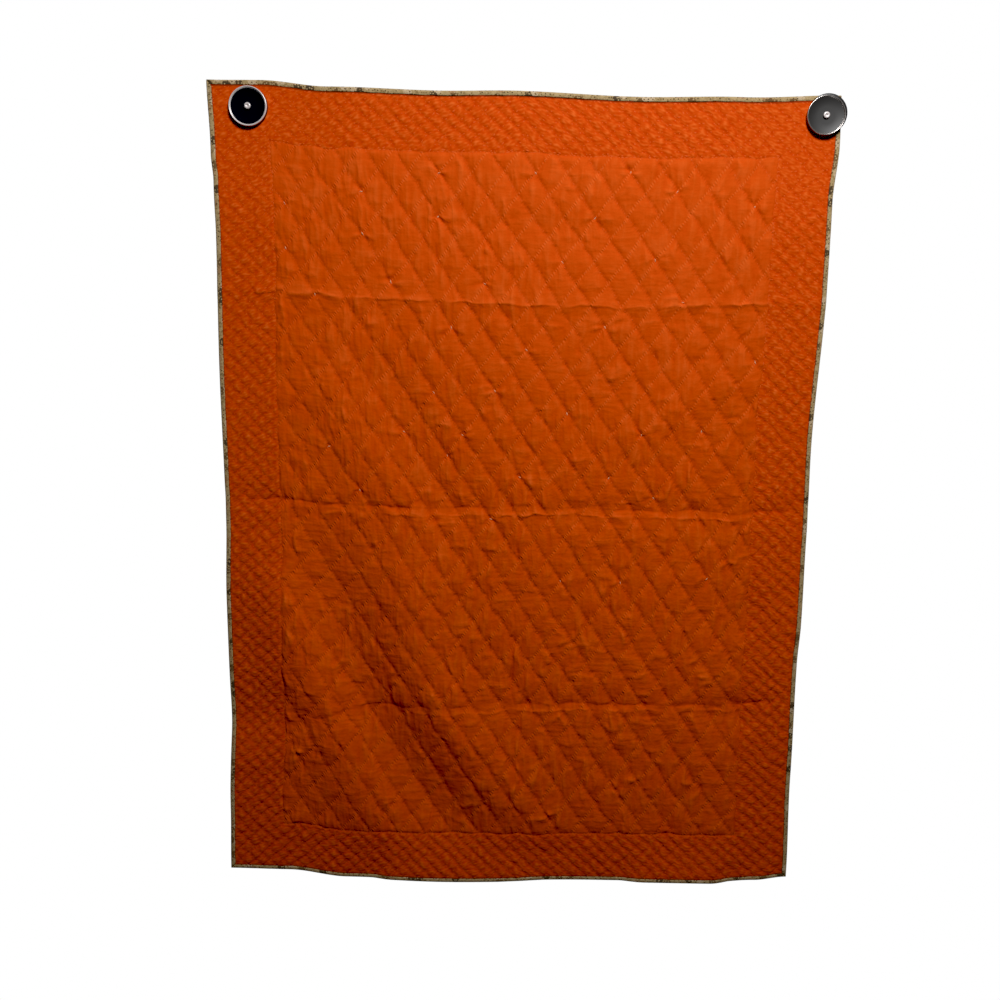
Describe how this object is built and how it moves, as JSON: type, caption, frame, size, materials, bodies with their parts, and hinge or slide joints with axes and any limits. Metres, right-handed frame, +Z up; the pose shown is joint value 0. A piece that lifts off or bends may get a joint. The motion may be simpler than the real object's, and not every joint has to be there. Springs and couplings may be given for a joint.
{
  "type": "quilted baby blanket with two round hanging magnets",
  "caption": "Thin orange cotton baby blanket quilted in diamonds, with a small-flowered binding, hung on a wall by round magnets at its top corners.",
  "frame": {"origin": "on the wall, midway between the centres of the two magnets", "axes": "+X to the right along the top edge, +Y into the wall, +Z up; the blanket's quilted front faces -Y"},
  "size_m": [0.9247, 0.0259, 1.244],
  "materials": {
    "orange_cotton": "quilted plain-weave cotton",
    "floral_binding": "plain-weave cotton with a small flowered print",
    "magnet_body": "satin black",
    "magnet_face": "mirror black",
    "bright_steel": "polished"
  },
  "bodies": {
    "root": {"quilt": "orange_cotton", "binding_top": "floral_binding", "binding_bottom": "floral_binding", "binding_left": "floral_binding", "binding_right": "floral_binding", "magnet_back_left": "magnet_body", "magnet_back_right": "magnet_body", "magnet_face_left": "magnet_face", "magnet_face_right": "magnet_face", "magnet_stud_left": "bright_steel", "magnet_stud_right": "bright_steel"}
  },
  "joints": []
}
